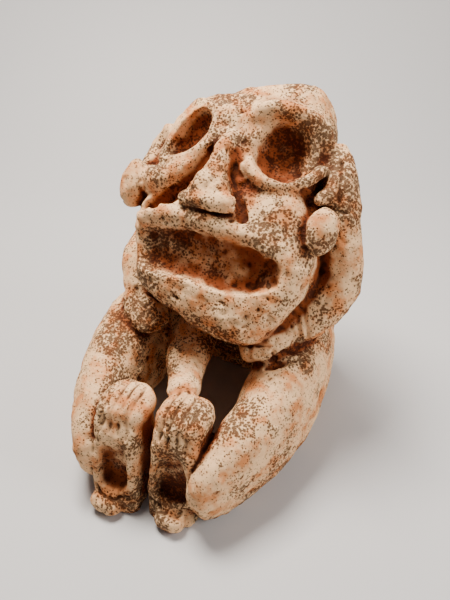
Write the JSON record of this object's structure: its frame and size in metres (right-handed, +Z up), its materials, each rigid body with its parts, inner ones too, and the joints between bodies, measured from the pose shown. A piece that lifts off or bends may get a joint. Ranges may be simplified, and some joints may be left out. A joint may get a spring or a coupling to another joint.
{
  "type": "carved stone seated figure",
  "caption": "Seated carved stone figure with a large tilted head, hollow eyes and mouth, hands at the jaw, drawn-up knees and feet together.",
  "frame": {"origin": "centre of the figure's bounding box, at the height of the surface that it sits on", "axes": "+Z up; the figure faces -Y, with its toes and chin that way; +X is towards the figure's own left side"},
  "size_m": [0.2062, 0.2566, 0.252],
  "materials": {
    "stone": "weathered porous limestone, cream where it is worn, dark brown in the pits and reddish brown in the hollows"
  },
  "bodies": {
    "root": {"skull": "stone", "jaw": "stone", "nose": "stone", "left_ear_disc": "stone", "right_ear_disc": "stone", "left_ear": "stone", "right_ear": "stone", "left_arm_band": "stone", "right_arm_band": "stone", "left_wrist_band": "stone", "right_wrist_band": "stone", "left_shoulder": "stone", "right_shoulder": "stone", "left_upper_arm": "stone", "right_upper_arm": "stone", "left_forearm": "stone", "right_forearm": "stone", "left_hand": "stone", "right_hand": "stone", "torso": "stone", "central_bar": "stone", "left_foot": "stone", "right_foot": "stone", "left_toes": "stone", "right_toes": "stone", "left_heel_knob": "stone", "right_heel_knob": "stone", "left_thigh": "stone", "right_thigh": "stone", "left_shin": "stone", "right_shin": "stone"}
  },
  "joints": []
}
